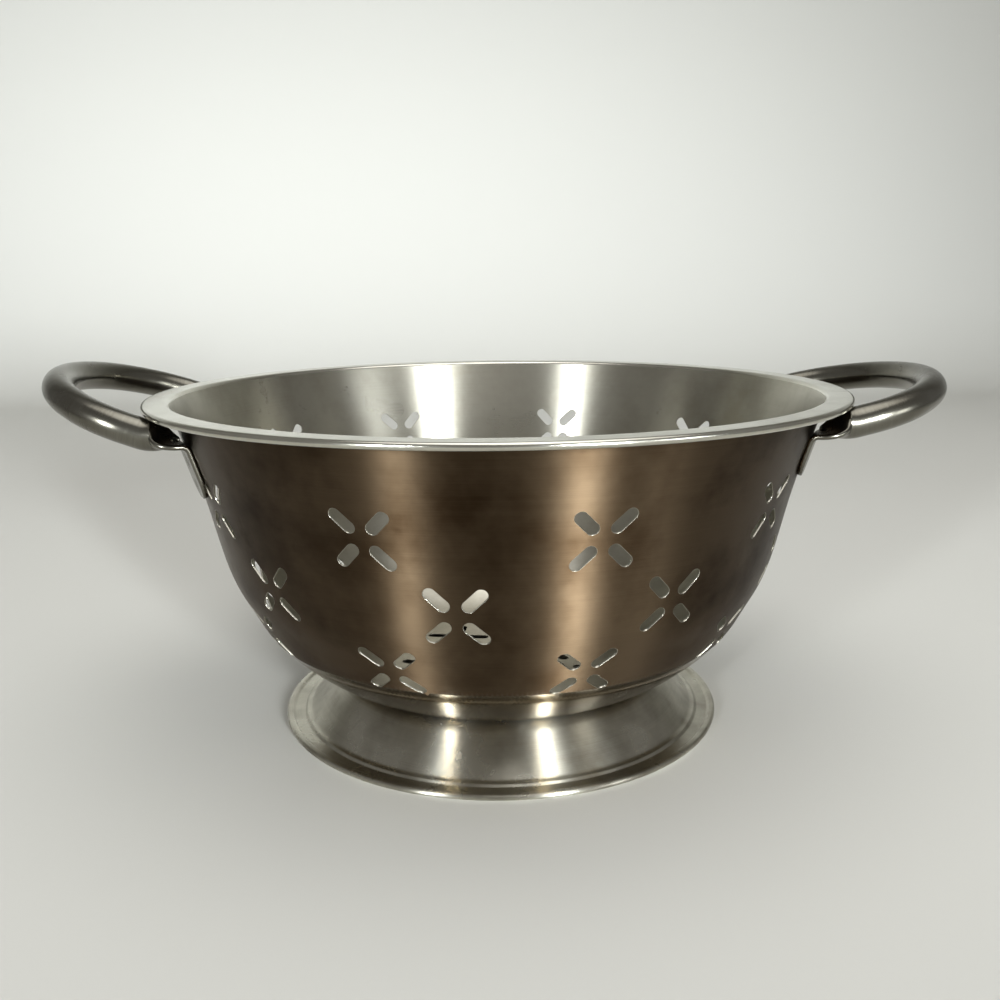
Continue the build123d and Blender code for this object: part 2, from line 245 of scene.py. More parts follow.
def left_of(line):
    """Unit normals to the left of a line, averaged at each point."""
    way = unit(np.gradient(line, axis=0))
    return np.stack([-way[:, 1], way[:, 0]], axis=1)


# Meshes

def face_table(a, b, c, d):
    """Four-cornered faces from four index arrays."""
    return np.stack([a, b, c, d], axis=-1).reshape(-1, 4)


def grid_faces(rows, columns, wrap=True):
    """Faces of a grid of points, row by row, closed round its columns where asked."""
    across = columns if wrap else columns - 1
    i, j = np.meshgrid(np.arange(rows - 1), np.arange(across), indexing="ij")
    k = (j + 1) % columns
    return face_table(i * columns + j, i * columns + k, (i + 1) * columns + k, (i + 1) * columns + j)


def make_piece(name, points, quads, triangles, normals, finishes, finish_of, uv):
    """Mesh from whole arrays: points and normals by vertex, finish by face, one UV pair by vertex."""
    mesh = bpy.data.meshes.new(name)
    loops = np.concatenate([quads.ravel(), triangles.ravel()]).astype(np.int32)
    sizes = np.concatenate([np.full(len(quads), 4), np.full(len(triangles), 3)]).astype(np.int32)
    mesh.vertices.add(len(points))
    mesh.vertices.foreach_set("co", (points * MM).astype(np.float32).ravel())
    mesh.loops.add(len(loops))
    mesh.loops.foreach_set("vertex_index", loops)
    mesh.polygons.add(len(sizes))
    starts = np.concatenate([[0], np.cumsum(sizes)[:-1]]).astype(np.int32)
    mesh.polygons.foreach_set("loop_start", starts)
    mesh.polygons.foreach_set("loop_total", sizes)
    mesh.polygons.foreach_set("material_index", np.asarray(finish_of, np.int32))
    mesh.update(calc_edges=True)
    mesh.polygons.foreach_set("use_smooth", np.ones(len(sizes), bool))
    layer = mesh.uv_layers.new(name="UVMap")
    layer.uv.foreach_set("vector", uv[loops].astype(np.float32).ravel())
    if normals is not None:
        mesh.normals_split_custom_set_from_vertices(normals.astype(np.float32))
    for finish in finishes:
        mesh.materials.append(finish)
    piece = bpy.data.objects.new(name, mesh)
    bpy.context.scene.collection.objects.link(piece)
    return piece


def outward(angle):
    """Unit vector in plan at an angle from the front, and the one along the wall to its right."""
    return (np.stack([np.sin(angle), -np.cos(angle)], axis=-1),
            np.stack([np.cos(angle), np.sin(angle)], axis=-1))


def swung(flat, out):
    """Points or ways of a plane through the axis, turned to the way out in plan."""
    return np.concatenate([flat[..., 0:1] * out, flat[..., 1:2]], axis=-1)


def ring_points(line, angles):
    """Points of a line carried round the axis: plan radius times the way out, at the line's height."""
    out = outward(angles)[0]
    heights = np.repeat(line[:, None, 1:2], len(angles), 1)
    return np.concatenate([line[:, None, 0:1] * out[None], heights], axis=2)


def even_turns(columns):
    """Evenly spaced angles round the axis."""
    return np.arange(columns) * 2 * np.pi / columns


def grid_uv(across, along):
    """UV pairs of a grid: a share for each column, and for each row its run in the map's units."""
    pairs = np.broadcast_arrays(across[None], along[:, None] / UV_LENGTH)
    return np.stack(pairs, axis=-1).reshape(-1, 2)


# Bowl

def wall_outline(count=WALL_POINTS):
    """Outer line of floor and wall from the axis to the rim bend."""
    flare = math.radians(WALL_FLARE)
    top = TOP - SHEET - RIM_BEND * (1 - math.sin(flare))
    reach, rise = MOUTH_RADIUS - FLOOR_RADIUS, top - FLOOR_HEIGHT
    points = [(FLOOR_RADIUS, FLOOR_HEIGHT)]
    points += [(FLOOR_RADIUS + a * reach, FLOOR_HEIGHT + b * rise) for a, b in WALL_SHARES]
    points += [(MOUTH_RADIUS, top)]
    wall = clamped_line(points, (1, 0), (math.sin(flare), math.cos(flare)), count)
    return joined(straight((0, FLOOR_HEIGHT), (FLOOR_RADIUS, FLOOR_HEIGHT), FLOOR_POINTS), wall)


class BowlSkin:
    """The bowl's wall as a function of the distance run from the axis, the angle and the depth."""

    def __init__(self):
        self.line = wall_outline()
        self.run = lengths(self.line)
        self.normal = -left_of(self.line)
        height = self.line[:, 1]
        edge = (np.clip((height - LINE_BOTTOM) / LINE_SLOPE, 0, 1)
                * np.clip((LINE_TOP - height) / LINE_SLOPE, 0, 1))
        self.groove = LINE_DEPTH * np.where(self.line[:, 0] > FLOOR_RADIUS, edge, 0)
        grooved = self.line - self.normal * self.groove[:, None]
        self.outer_normal = -left_of(grooved)
        self.end = self.run[-1]

    def read(self, run, values):
        """Values of a table along the line at given distances."""
        return np.stack([np.interp(run, self.run, values[:, k]) for k in range(values.shape[1])], axis=-1)

    def place(self, run, angle, depth):
        """Point at a distance along the line, an angle and a depth under the outer face."""
        line, normal = self.read(run, self.line), self.read(run, self.normal)
        depth = np.maximum(depth, np.interp(run, self.run, self.groove))
        return swung(line - normal * np.asarray(depth)[..., None], outward(angle)[0])

    def facing(self, run, angle, values):
        """Normal of a table turned to an angle."""
        return swung(unit(self.read(run, values)), outward(angle)[0])

    def run_at(self, height):
        """Distance along the line at which the wall has a height."""
        wall = self.line[:, 0] >= FLOOR_RADIUS
        return np.interp(height, self.line[wall, 1], self.run[wall])


def group_centres(skin):
    """Run and angle in degrees of every slot group's centre, in the wall and in the floor."""
    middle = (ROW_ANGLES + np.append(ROW_ANGLES[1:], ROW_ANGLES[0] + 360)) / 2 + MIDDLE_LAG
    rows = (("upper", ROW_ANGLES), ("middle", middle), ("lower", ROW_ANGLES))
    wall = [(skin.run_at(ROW_HEIGHTS[row]), a) for row, turns in rows for a in turns]
    floor = [(0.0, 0.0)]
    floor += [(FLOOR_RING_RADIUS, 360 / FLOOR_RING_GROUPS * i) for i in range(FLOOR_RING_GROUPS)]
    return np.array(wall), np.array(floor)


def slot_turns():
    """Angles of a group's slots in its own plane."""
    return np.radians(np.arange(SLOTS_IN_GROUP) * 90 + 45)


def slot_outline(grow):
    """Outlines of a group's slots in its own plane, as an array of four slots by points,
    with their normals: two half circles joined by straight sides, turned to each diagonal."""
    core = (SLOT_LENGTH - SLOT_WIDTH) / 2

    def outline(radius, reach):
        right = arc((reach, 0), radius, -90, 90, SLOT_END_POINTS)
        left = arc((-reach, 0), radius, 90, 270, SLOT_END_POINTS)
        return np.concatenate([right, [[0, radius]], left, [[0, -radius]]])

    loop, normal = outline(SLOT_WIDTH / 2 + grow, core), outline(1, 0)
    turn = slot_turns()
    matrix = np.stack([np.cos(turn), -np.sin(turn), np.sin(turn), np.cos(turn)], axis=1)
    matrix = matrix.reshape(-1, 2, 2)
    loop = loop + [SLOT_SPREAD, 0]
    return np.einsum("gij,pj->gpi", matrix, loop), np.einsum("gij,pj->gpi", matrix, normal)


def slot_rings(skin, grow):
    """Run and angle of every slot's outline, and its normals across and along the wall."""
    wall, floor = group_centres(skin)
    local, normal = slot_outline(grow)
    runs = wall[:, 0][:, None, None] + local[None, ..., 1]
    radius = skin.read(runs, skin.line)[..., 0]
    angles = np.radians(wall[:, 1])[:, None, None] + np.arcsin(local[None, ..., 0] / radius)
    way = np.broadcast_to(normal[None], runs.shape + (2,))
    out, side = outward(np.radians(floor[:, 1]))
    flat = (out[:, None, None] * floor[:, 0][:, None, None, None]
            + side[:, None, None] * local[None, ..., 0:1] + out[:, None, None] * local[None, ..., 1:2])
    flat_way = side[:, None, None] * normal[None, ..., 0:1] + out[:, None, None] * normal[None, ..., 1:2]
    floor_runs = np.linalg.norm(flat, axis=-1)
    floor_angles = np.arctan2(flat[..., 0], -flat[..., 1])
    o, s = outward(floor_angles)
    floor_ways = np.stack([(flat_way * s).sum(-1), (flat_way * o).sum(-1)], axis=-1)
    count = local.shape[1]
    return (np.concatenate([runs, floor_runs]).reshape(-1, count),
            np.concatenate([angles, floor_angles]).reshape(-1, count),
            np.concatenate([way, floor_ways]).reshape(-1, count, 2))


def plan_of(run, angle):
    """The unrolled plan of the bowl: distance run from the axis, along the way out."""
    return outward(angle)[0] * np.asarray(run)[..., None]


def inside_slots(points, skin, grow):
    """Whether points of the unrolled plan lie in any slot grown by an amount: each point is read
    in its group's own plane, and its distance to each slot's middle line is compared."""
    wall, floor = group_centres(skin)
    run, angle = np.linalg.norm(points, axis=1), np.arctan2(points[:, 0], -points[:, 1])
    radius = skin.read(run, skin.line)[:, 0]
    turn = slot_turns()
    ways = np.stack([np.cos(turn), np.sin(turn)], axis=1)
    core = (SLOT_LENGTH - SLOT_WIDTH) / 2
    hit = np.zeros(len(points), bool)

    def near(local):
        along = local @ ways.T
        across = local @ np.stack([-ways[:, 1], ways[:, 0]])
        far = np.hypot(along - np.clip(along, SLOT_SPREAD - core, SLOT_SPREAD + core), across)
        return (far < SLOT_WIDTH / 2 + grow).any(axis=1)

    for centre, turned in wall:
        swing = (angle - math.radians(turned) + np.pi) % (2 * np.pi) - np.pi
        local = np.stack([radius * np.sin(swing), run - centre], axis=1)
        hit |= near(local) & (np.abs(swing) < GROUP_REACH)
    for centre, turned in floor:
        out, side = outward(np.radians(turned))
        away = points - out * centre
        hit |= near(np.stack([away @ side, away @ out], axis=1)) & (run < FLOOR_RADIUS)
    return hit


def bowl_plan(skin, columns):
    """Unrolled plan from rings of points, with the slot outlines as edges and the slots left open:
    its points, its triangles, the places of the outlines' and the mouth's points among them, and
    the number of slots and of points in an outline."""
    runs, angles, _ = slot_rings(skin, SLOT_MOUTH)
    outlines = plan_of(runs, angles)
    rings = [(0.0, 1)]
    for first, last, step, number in INNER_RINGS:
        rings += [(s, number) for s in np.arange(first, last, step)]
    crease = skin.run_at(np.array([LINE_BOTTOM, LINE_BOTTOM + LINE_SLOPE, LINE_TOP - LINE_SLOPE, LINE_TOP]))
    steady = np.arange(OUTER_START, skin.end - OUTER_ROOM, OUTER_STEP)
    steady = steady[np.abs(steady[:, None] - crease[None]).min(axis=1) > CREASE_ROOM]
    close = np.concatenate([crease - CREASE_OFFSET, crease + CREASE_OFFSET])
    rings += [(s, columns) for s in np.sort(np.concatenate([steady, close]))]
    loose = np.concatenate([plan_of(s, (np.arange(n) + 0.5 * (k % 2)) * 2 * np.pi / n)
                            for k, (s, n) in enumerate(rings)])
    loose = loose[~inside_slots(loose, skin, SLOT_CLEAR)]
    edge = plan_of(skin.end, even_turns(columns))
    points = np.concatenate([outlines.reshape(-1, 2), edge, loose])
    count = outlines.shape[1]
    start = np.arange(len(outlines))[:, None] * count
    index = np.arange(count)[None]
    edges = np.stack([start + index, start + (index + 1) % count], axis=-1).reshape(-1, 2)
    found = delaunay_2d_cdt([tuple(p) for p in points], edges.tolist(), [], 0, PLAN_DOUBLED)
    flat = np.array([tuple(v) for v in found[0]])
    triangles = np.array([f for f in found[2] if len(f) == 3])
    triangles = triangles[~inside_slots(flat[triangles].mean(axis=1), skin, SLOT_INSIDE)]
    a, b, c = (flat[triangles[:, k]] for k in range(3))
    ab, ac = b - a, c - a
    turn = ab[:, 0] * ac[:, 1] - ab[:, 1] * ac[:, 0]
    triangles[turn < 0] = triangles[turn < 0][:, ::-1]
    place = np.empty(len(points), int)
    for new, olds in enumerate(found[3]):
        place[list(olds)] = new
    outline_index = place[:len(outlines) * count].reshape(len(outlines), count)
    edge_index = place[len(outlines) * count:len(outlines) * count + columns]
    return flat, triangles, outline_index, edge_index, (len(outlines), count)


def rim_line(skin):
    """Line from the wall's outer face over the bend, flange and rolled edge back to its inner face."""
    centre = skin.line[-1] + skin.normal[-1] * RIM_BEND
    roll = (RIM_RADIUS - RIM_ROLL, TOP - RIM_ROLL)
    small = RIM_ROLL - SHEET
    return joined(
        arc(centre, RIM_BEND, 180 - WALL_FLARE, 90, 7),
        straight((centre[0], TOP - SHEET), (roll[0], TOP - SHEET), 4),
        arc(roll, small, 90, 90 - ROLL_SWEEP, 14),
        arc(roll, RIM_ROLL, 90 - ROLL_SWEEP, 90, 26),
        straight((roll[0], TOP), (centre[0], TOP), 5),
        arc(centre, RIM_BEND + SHEET, 90, 180 - WALL_FLARE, 9))


def make_bowl(finishes, columns=BOWL_COLUMNS):
    """Bowl: outer and inner skins over one plan, slot walls between their outlines, and the rim.
    Its finishes are those of the outside, inside, band under the pressed line, and rim."""
    skin = BowlSkin()
    flat, triangles, outline, edge, (slots, count) = bowl_plan(skin, columns)
    run = np.minimum(np.linalg.norm(flat, axis=1), skin.end)
    run[edge] = skin.end
    angle = np.arctan2(flat[:, 0], -flat[:, 1])
    size = len(flat)
    points = [skin.place(run, angle, np.zeros(size)), skin.place(run, angle, np.full(size, SHEET))]
    normals = [skin.facing(run, angle, skin.outer_normal), -skin.facing(run, angle, skin.normal)]
    uv = [np.stack([angle / (2 * np.pi), run / UV_LENGTH], axis=1)] * 2
    skins = np.concatenate([triangles[:, ::-1], triangles + size])
    base = 2 * size
    rows = [outline]
    for k, (grow, depth, lean) in enumerate(SLOT_ROWS):
        runs, angles, ways = slot_rings(skin, grow)
        points.append(skin.place(runs, angles, np.full(runs.shape, depth)).reshape(-1, 3))
        out, side = outward(angles)
        along = skin.read(runs, -np.stack([skin.normal[:, 1], -skin.normal[:, 0]], axis=1))
        across = np.concatenate([side, np.zeros_like(side[..., :1])], axis=-1)
        up = swung(along, out)
        hole = -(ways[..., 0:1] * across + ways[..., 1:2] * up)
        normal = hole + lean * 2 * skin.facing(runs, angles, skin.normal)
        normals.append(unit(normal).reshape(-1, 3))
        uv.append(np.stack([angles / (2 * np.pi), runs / UV_LENGTH], axis=-1).reshape(-1, 2))
        rows.append(base + k * slots * count + np.arange(slots * count).reshape(slots, count))
    rows.append(outline + size)
    walls = np.concatenate([face_table(a, np.roll(a, -1, 1), np.roll(b, -1, 1), b)
                            for a, b in zip(rows, rows[1:])])
    base += len(SLOT_ROWS) * slots * count
    line = rim_line(skin)
    turns = even_turns(columns)
    points.append(ring_points(line[1:-1], turns).reshape(-1, 3))
    normals.append(ring_points(-left_of(line)[1:-1], turns).reshape(-1, 3))
    uv.append(grid_uv(turns / (2 * np.pi), skin.end + lengths(line)[1:-1]))
    inner = base + np.arange((len(line) - 2) * columns).reshape(-1, columns)
    table = np.concatenate([edge[None], inner, edge[None] + size])
    a, b = table[:-1], table[1:]
    rim_faces = face_table(a, np.roll(a, -1, 1), np.roll(b, -1, 1), b)
    quads = np.concatenate([walls, rim_faces])
    points, normals, uv = np.concatenate(points), np.concatenate(normals), np.concatenate(uv)
    low = run[triangles].max(axis=1) < skin.run_at(LINE_TOP) + BAND_OVER
    on_rim = np.repeat(np.arange(len(table) - 1) > LAST_UNDER_ROW, columns)
    finish_of = np.concatenate([np.full(len(walls), INSIDE), np.where(on_rim, RIM, OUTSIDE),
                                np.where(low, BAND, OUTSIDE), np.full(len(triangles), INSIDE)])
    return make_piece("pressed_bowl", points, quads, skins, normals, finishes, finish_of, uv)


# Foot ring

def moved_sideways(points, radii, amount):
    """Corners and bend radii of a bent line moved a steady distance to its left."""
    p = np.array(points, float)
    way = unit(np.diff(p, axis=0))
    left = np.stack([-way[:, 1], way[:, 0]], axis=1)
    share = amount / (1 + (left[:-1] * left[1:]).sum(axis=1))
    middle = p[1:-1] + (left[:-1] + left[1:]) * share[:, None]
    turn = way[:-1, 0] * way[1:, 1] - way[:-1, 1] * way[1:, 0]
    return (np.concatenate([[p[0] + left[0] * amount], middle, [p[-1] + left[-1] * amount]]),
            np.array(radii) - np.sign(turn) * amount)


def foot_line():
    """Closed line of the foot's sheet: upper side, rolled edge, under side and back."""
    half = SHEET / 2
    seat, flange = FLOOR_HEIGHT - half, FLANGE_CLEAR + half
    roll_height = FOOT_ROLL - FOOT_FLAT
    roll_top = roll_height + FOOT_ROLL - half
    roll_centre = FOOT_RADIUS - FOOT_ROLL
    lift = roll_top - flange
    ledge_end = LEDGE_RADIUS + LEDGE_WIDTH
    points = [(SHOULDER_RADIUS - SEAT_WIDTH, seat), (SHOULDER_RADIUS, seat),
              (LEDGE_RADIUS, flange + LEDGE_STEP), (ledge_end, flange + LEDGE_STEP),
              (ledge_end + LEDGE_STEP, flange), (roll_centre - FOOT_ROLL - lift, flange),
              (roll_centre - FOOT_ROLL, roll_top), (roll_centre, roll_top)]
    upper = filleted(*moved_sideways(points, FOOT_BENDS, half), FOOT_UPPER_STEP)
    under = filleted(*moved_sideways(points, FOOT_BENDS, -half), FOOT_UNDER_STEP)
    centre = (roll_centre, roll_height)
    line = joined(upper, arc(centre, FOOT_ROLL, 90, 90 - ROLL_SWEEP, 24),
                  arc(centre, FOOT_ROLL - SHEET, 90 - ROLL_SWEEP, 90, 12), under[::-1])
    line[:, 1] = np.maximum(line[:, 1], 0)
    return line


def make_turned(name, line, finish, columns=FOOT_COLUMNS):
    """Ring: a closed line carried round the axis."""
    turns = even_turns(columns)
    points = ring_points(line, turns)
    count = len(line)
    i, j = np.meshgrid(np.arange(count), np.arange(columns), indexing="ij")
    m, k = (i + 1) % count, (j + 1) % columns
    quads = face_table(i * columns + j, m * columns + j, m * columns + k, i * columns + k)
    return make_piece(name, points.reshape(-1, 3), quads, NO_TRIANGLES, None, [finish],
                      np.zeros(len(quads)), grid_uv(turns / (2 * np.pi), lengths(line)))


# Handles

def steps_along(line):
    """Line read again at even spacing, with more points near its start and in the pressed length."""
    run = lengths(line)
    near = TIP_END * (1 - np.cos(np.linspace(0, np.pi / 2, TIP_POINTS)))
    pressed = np.linspace(TIP_END, PRESSED_END, PRESSED_POINTS)
    far = np.linspace(PRESSED_END, run[-1], int((run[-1] - PRESSED_END) / LOOP_STEP))
    at = np.concatenate([near, pressed[1:], far[1:]])
    return np.stack([np.interp(at, run, line[:, k]) for k in range(line.shape[1])], axis=1), at


def eased(share):
    """Half straight, half smooth way from 0 to 1: s/2 + s*s*(3 - 2*s)/2."""
    return share / 2 + share * share * (3 - 2 * share) / 2


def half_path(side):
    """Centre line of half a handle, from a tab's tip up the wall, under the rim and round the loop,
    and the distances along it at which the flat tab ends and the round tube starts."""
    skin_line = wall_outline()
    normal = -left_of(skin_line)
    wall = skin_line[:, 0] >= FLOOR_RADIUS
    half = TAB_THICKNESS / 2 - TAB_SET

    def beside(height):
        """Point of the tab's centre line beside the wall at a height."""
        tables = (skin_line[:, 0], normal[:, 0], normal[:, 1])
        radius, out, up = (np.interp(height, skin_line[wall, 1], t[wall]) for t in tables)
        return np.array([radius + out * half, height + up * half])

    low, high = beside(TAB_TIP[side]), beside(TAB_HEIGHT)
    corner = np.array([high[0], TAB_HEIGHT])
    start = corner + [TAB_BEND + TAB_RUN, 0]
    flat = filleted([low, corner, start], [TAB_BEND], TAB_STEP)
    a = math.radians(TAB_ANGLE)
    tab = np.stack([flat[:, 0] * math.cos(a), flat[:, 0] * math.sin(a), flat[:, 1]], axis=1)
    tilt, spacing = math.radians(RISE[side]), LEG_SPACING / 2
    reach = LOOP_REACH - LOOP_STRAIGHT
    corners = [(0.0, spacing)]
    for t0, t1 in zip(LOOP_TANGENTS, LOOP_TANGENTS[1:]):
        m, h = math.radians((t0 + t1) / 2), math.radians((t1 - t0) / 2)
        corners.append((LOOP_STRAIGHT + reach * math.sin(m) / math.cos(h),
                        spacing * math.cos(m) / math.cos(h)))
    corners.append((corners[-1][0], 0.0))
    loop = filleted(corners, [spacing * s for s in LOOP_SHARES], LOOP_LINE_STEP)
    loop = np.stack([LEG_ROOT + loop[:, 0] * math.cos(tilt), loop[:, 1],
                     LEG_HEIGHT + loop[:, 0] * math.sin(tilt)], axis=1)
    reach = LEG_BEND * math.tan(tilt / 2)
    corner = np.array([LEG_ROOT - reach * math.cos(tilt), LEG_HEIGHT - reach * math.sin(tilt)])
    leg = filleted([corner - [reach + LEG_RUN, 0], corner, (LEG_ROOT, LEG_HEIGHT)],
                   [LEG_BEND * LEG_BEND_SHARE], LOOP_LINE_STEP)
    leg = np.stack([leg[:, 0], np.full(len(leg), spacing), leg[:, 1]], axis=1)
    loop = joined(leg, loop)
    p0, p1 = tab[-1], loop[0]
    gap = np.linalg.norm(p1 - p0)
    m0 = np.array([math.cos(a), math.sin(a), 0]) * gap
    m1 = np.array([gap, 0, 0])
    u = np.linspace(0, 1, BRIDGE_POINTS)[:, None]
    bridge = hermite(u, p0, p1, m0, m1)
    bridge[:, 2] = p0[2] + (p1[2] - p0[2]) * eased(u[:, 0])
    line = joined(tab, bridge, loop)
    run = lengths(line)
    return line, run[len(tab) - 1], run[len(tab) + BRIDGE_POINTS - 2]


def flat_ring(half_width, half_height, count):
    """Flat section with round sides: side arcs take a quarter of the points each."""
    q = count // 4
    a = np.radians(np.linspace(-90, 90, q, endpoint=False))
    b = np.linspace(1, -1, q, endpoint=False)
    core = half_width - half_height
    right = np.stack([core + half_height * np.cos(a), half_height * np.sin(a)], axis=1)
    top = np.stack([core * b, np.full(q, half_height)], axis=1)
    return np.concatenate([right, top, -right, -top])


def round_ring(radius, count):
    """Round section with its points where the flat section's points go to."""
    q = count // 4
    side = np.linspace(-SIDE_ANGLE, SIDE_ANGLE, q, endpoint=False)
    top = np.linspace(SIDE_ANGLE, 180 - SIDE_ANGLE, q, endpoint=False)
    a = np.radians(np.concatenate([side, top, side + 180, top + 180]))
    return radius * np.stack([np.cos(a), np.sin(a)], axis=1)


def make_handle(side, finish, count=HANDLE_COLUMNS):
    """Handle: a section carried along the centre line, flat on the tab and round on the loop,
    mirrored about the middle of the loop, with shallow weld marks in the tabs."""
    line, press_start, press_end = half_path(side)
    line, at = steps_along(line)
    way = np.gradient(line, at, axis=0)
    u = eased(np.clip((at - press_start) / (press_end - press_start), 0, 1))[:, None]
    way[:, 2:] *= (u <= 0) | (u >= 1)
    way = unit(way)
    tilt, a = math.radians(RISE[side]), math.radians(TAB_ANGLE)
    plane = np.array([-math.sin(tilt), 0, math.cos(tilt)])
    loop_wide = np.cross(plane[None], way)
    wide = (1 - u) * np.array([-math.sin(a), math.cos(a), 0]) + u * loop_wide
    wide = unit(wide - (wide * way).sum(axis=1)[:, None] * way)
    thick = np.cross(wide, way)
    half = TAB_WIDTH / 2
    near_tip = np.clip(at / half, 0, 1)
    share = np.sqrt(np.clip(1 - (1 - near_tip) ** 2, 0, 1))
    section = ((1 - u)[:, :, None] * flat_ring(half, TAB_THICKNESS / 2, count)
               + u[:, :, None] * round_ring(TUBE_RADIUS, count))
    section = section * np.stack([share, np.clip(share * TIP_SWELL, 0, 1)], axis=1)[:, None]
    up_tab = line[np.searchsorted(at, TAB_SLOPE_LENGTH)] - line[0]
    total = (TAB_HEIGHT - TAB_TIP[side]) * np.linalg.norm(up_tab) / up_tab[2]
    sunk = np.zeros(section.shape[:2])
    for part in WELD_SHARES:
        away = np.hypot(section[..., 0], at[:, None] - part * total) / WELD_RADIUS
        mark = np.clip(1 - away ** 2, 0, 1) ** WELD_EDGE
        sunk = np.maximum(sunk, mark * (section[..., 1] > 0))
    section[..., 1] -= sunk * WELD_DEPTH
    points = line[:, None] + section[..., 0:1] * wide[:, None] + section[..., 1:2] * thick[:, None]
    points = np.concatenate([points, points[:-1][::-1] * [1, -1, 1]])
    run = np.concatenate([at, 2 * at[-1] - at[:-1][::-1]])
    rows = len(points)
    quads = grid_faces(rows, count)[:, ::-1]
    ends = np.array([line[0], line[0] * [1, -1, 1]])
    k = np.arange(count)
    last = (rows - 1) * count
    end, after = rows * count, (k + 1) % count
    caps = np.concatenate([np.stack([np.full(count, end), k, after], axis=1),
                           np.stack([np.full(count, end + 1), last + after, last + k], axis=1)])
    uv = np.concatenate([grid_uv(k / count, run), [[0, 0], [0, run[-1] / UV_LENGTH]]])
    points = np.concatenate([points.reshape(-1, 3), ends])
    if side == "left":
        points = points * [-1, -1, 1]
    return make_piece("tube_handle_" + side, points, quads, caps, None, [finish],
                      np.zeros(len(quads) + len(caps)), uv)


# Finishes

def graph(name):
    """New material and its node tree, with helper calls for nodes and links."""
    material = bpy.data.materials.new(name)
    material.use_nodes = True
    tree = material.node_tree
    tree.nodes.clear()

    def node(kind, **values):
        made = tree.nodes.new(kind)
        for key, value in values.items():
            if hasattr(made, key):
                setattr(made, key, value)
            else:
                made.inputs[key.replace("_", " ")].default_value = value
        return made

    def link(a, b):
        tree.links.new(a, b)

    return material, node, link


def ramp(node, link, source, stops):
    """Clamped grey ramp: its stops are the source's low and high ends and the levels there."""
    made = node("ShaderNodeMapRange", clamp=True)
    for end, value in zip(("From Min", "From Max", "To Min", "To Max"), stops):
        made.inputs[end].default_value = value
    link(source, made.inputs["Value"])
    return made.outputs["Result"]


